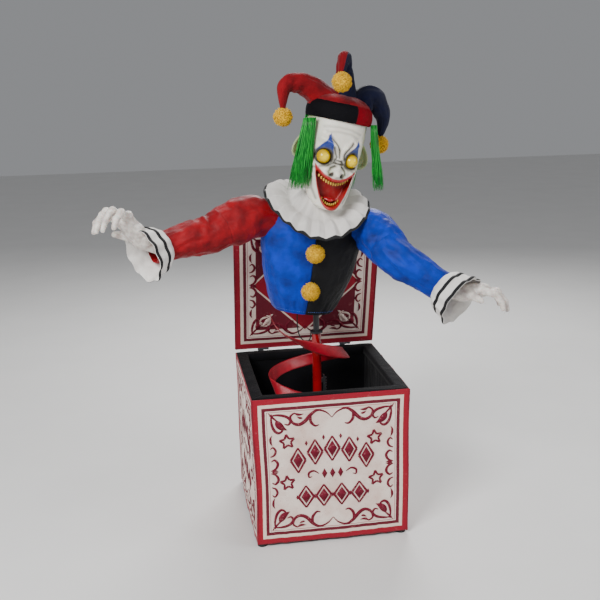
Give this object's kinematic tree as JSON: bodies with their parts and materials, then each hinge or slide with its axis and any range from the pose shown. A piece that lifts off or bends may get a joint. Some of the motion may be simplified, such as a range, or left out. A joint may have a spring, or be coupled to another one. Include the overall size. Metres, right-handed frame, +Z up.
{
  "type": "jack in the box",
  "caption": "Animated jack in the box: printed square box with a flap lid, a rising mast and a jester figure with posable arms, turning head and moving jaw.",
  "frame": {"origin": "floor centre of the box, on the underside of the middle foot", "axes": "+Z up, -Y to the front where the figure looks, +X to the viewer's right"},
  "size_m": [1.2533, 0.6066, 1.5293],
  "materials": {
    "steel_tube": "satin black tube",
    "red_tube": "gloss red tube",
    "black_tube": "satin black",
    "zinc": "zinc plated",
    "black_plastic": "matte",
    "red_button": "gloss",
    "rubber_feet": "matte",
    "printed_cover": "printed polyester",
    "black_cloth": "matte",
    "red_ribbon": "satin",
    "blue_satin": "satin",
    "black_satin": "satin",
    "red_satin": "satin",
    "white_cloth": "woven",
    "yellow_pompom": "tufted",
    "latex_white": "painted latex",
    "eye_glow": "lit dome",
    "teeth_yellow": "gloss",
    "green_hair": "straight fibre",
    "lead_black": "matte"
  },
  "bodies": {
    "box": {"feet": "rubber_feet", "base_frame": "steel_tube", "corner_joiners": "black_plastic", "corner_posts": "steel_tube", "top_rails": "steel_tube", "front_panel": "printed_cover", "back_panel": "printed_cover", "side_panels": "printed_cover", "top_hem": "black_cloth", "box_lining": "black_cloth", "lid_hinges_fixed": "zinc", "mast_socket": "steel_tube", "outer_mast": "red_tube", "mast_bush": "black_plastic", "motor_bracket": "zinc", "gear_motor": "black_plastic", "control_box": "black_plastic", "waist_lead": "lead_black", "spring_ribbon": "red_ribbon"},
    "lid": {"lid_inner_cover": "printed_cover", "lid_outer_cover": "printed_cover", "lid_frame": "steel_tube", "lid_hinges_moving": "zinc"},
    "try_button": {"try_button": "red_button"},
    "pinion": {"drive_pinion": "zinc"},
    "mast": {"inner_mast": "black_tube", "lift_rack": "zinc", "turn_motor": "black_plastic"},
    "swivel": {"swivel_bracket": "zinc", "sway_motor": "black_plastic"},
    "torso": {"shoulder_bar": "steel_tube", "head_motor": "black_plastic", "tunic_blue": "blue_satin", "tunic_black": "black_satin", "chest_pompoms": "yellow_pompom", "collar_ruffle": "white_cloth"},
    "head": {"head_frame": "black_plastic", "mask_shell": "latex_white", "upper_teeth": "teeth_yellow", "eye_domes": "eye_glow", "hair_locks": "green_hair", "hat_band": "black_satin", "hat_horn_left": "red_satin", "hat_horn_centre": "red_satin", "hat_horn_right": "black_satin", "hat_pompoms": "yellow_pompom"},
    "jaw": {"jaw_shell": "latex_white", "lower_teeth": "teeth_yellow"},
    "left_upper": {"left_upper_arm": "steel_tube", "left_upper_sleeve": "red_satin"},
    "left_fore": {"left_forearm": "steel_tube", "left_lower_sleeve": "red_satin", "left_cuff": "white_cloth", "left_hand": "latex_white"},
    "right_upper": {"right_upper_arm": "steel_tube", "right_upper_sleeve": "blue_satin"},
    "right_fore": {"right_forearm": "steel_tube", "right_lower_sleeve": "blue_satin", "right_cuff": "white_cloth", "right_hand": "latex_white"}
  },
  "joints": [
    {"name": "lid_hinge", "type": "hinge", "parent": "box", "child": "lid", "pos_m": [0, 0.258, 0.507], "axis": [1, 0, 0], "range_deg": [-22, 2]},
    {"name": "try_button_press", "type": "slide", "parent": "box", "child": "try_button", "axis": [0, 0, 1], "range_m": [-0.003, 0], "stiffness_N_per_m": 400},
    {"name": "mast_lift", "type": "slide", "parent": "box", "child": "mast", "axis": [0, 0, 1], "range_m": [-0.16, 0.02], "deforming": ["spring_ribbon", "waist_lead"]},
    {"name": "pinion_spin", "type": "hinge", "parent": "box", "child": "pinion", "pos_m": [0.056, 0, 0.3], "axis": [0, 1, 0], "range_deg": [-345, 45]},
    {"name": "torso_turn", "type": "hinge", "parent": "mast", "child": "swivel", "pos_m": [0, 0, 0.945], "axis": [0, 0, 1], "range_deg": [-15, 15]},
    {"name": "torso_sway", "type": "hinge", "parent": "swivel", "child": "torso", "pos_m": [0, 0, 0.975], "axis": [0, 1, 0], "range_deg": [-12, 3]},
    {"name": "head_turn", "type": "hinge", "parent": "torso", "child": "head", "pos_m": [0.02392, 0.00323, 1.09282], "axis": [0.2244, 0.0157, 0.9744], "range_deg": [-20, 12]},
    {"name": "jaw_hinge", "type": "hinge", "parent": "head", "child": "jaw", "pos_m": [0.0392, -0.00573, 1.15615], "axis": [0.972, 0.068, -0.225], "range_deg": [-10, 2]},
    {"name": "left_shoulder", "type": "hinge", "parent": "torso", "child": "left_upper", "pos_m": [-0.14892, 0, 1.05262], "axis": [-0.2982, 0.9499, -0.0934], "range_deg": [-12, 12]},
    {"name": "left_elbow", "type": "hinge", "parent": "left_upper", "child": "left_fore", "pos_m": [-0.352, -0.07, 0.989], "axis": [-0.3455, 0.9355, 0.0735], "range_deg": [-20, 20]},
    {"name": "right_shoulder", "type": "hinge", "parent": "torso", "child": "right_upper", "pos_m": [0.14816, 0, 1.01086], "axis": [0.4725, 0.6562, -0.5884], "range_deg": [-12, 12]},
    {"name": "right_elbow", "type": "hinge", "parent": "right_upper", "child": "right_fore", "pos_m": [0.238, -0.165, 0.899], "axis": [0.4376, -0.3291, 0.8368], "range_deg": [-20, 13]}
  ],
  "couplings": [
    {"joint": "pinion_spin", "follows": "mast_lift", "rad_per_m": 37.037}
  ]
}
